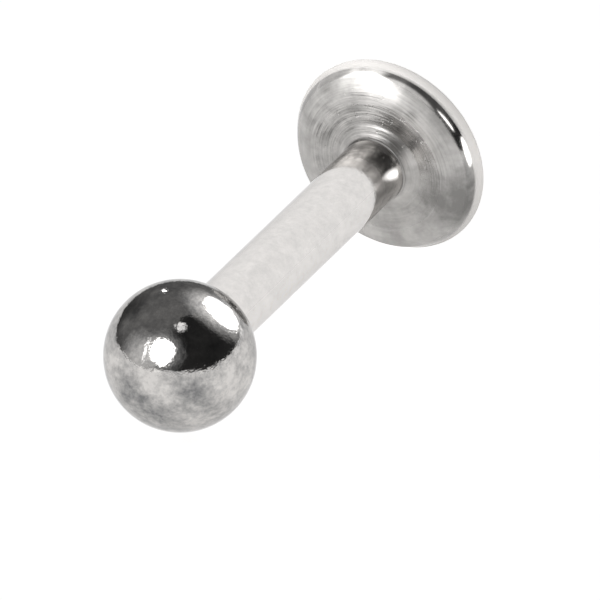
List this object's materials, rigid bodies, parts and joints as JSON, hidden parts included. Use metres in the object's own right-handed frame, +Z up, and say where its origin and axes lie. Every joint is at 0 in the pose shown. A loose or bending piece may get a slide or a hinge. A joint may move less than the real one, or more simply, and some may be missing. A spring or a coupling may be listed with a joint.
{
  "type": "labret stud",
  "caption": "Labret stud: a round disc with a rounded shoulder on a straight round post, closed by a polished ball whose threaded pin screws into the post's open end.",
  "frame": {"origin": "on the surface that the stud lies on, under the middle of its bounding box", "axes": "+Z up from that surface; +Y along the post from the ball to the disc, level, while the post itself leans up by 3.8 degrees; +X to the right as seen from the ball's end"},
  "size_m": [0.004, 0.0098, 0.004],
  "materials": {
    "turned_steel": "turned face, polished edge",
    "polished_steel": "polished",
    "mirror_steel": "mirror polished",
    "threaded_steel": "machined thread"
  },
  "bodies": {
    "base": {"disc": "turned_steel", "post": "polished_steel"},
    "ball_end": {"ball": "mirror_steel", "threaded_pin": "threaded_steel"}
  },
  "joints": [
    {"name": "ball_unscrew", "type": "slide", "parent": "base", "child": "ball_end", "axis": [0, -0.9978, -0.0667], "range_m": [0, 0.0036]}
  ]
}
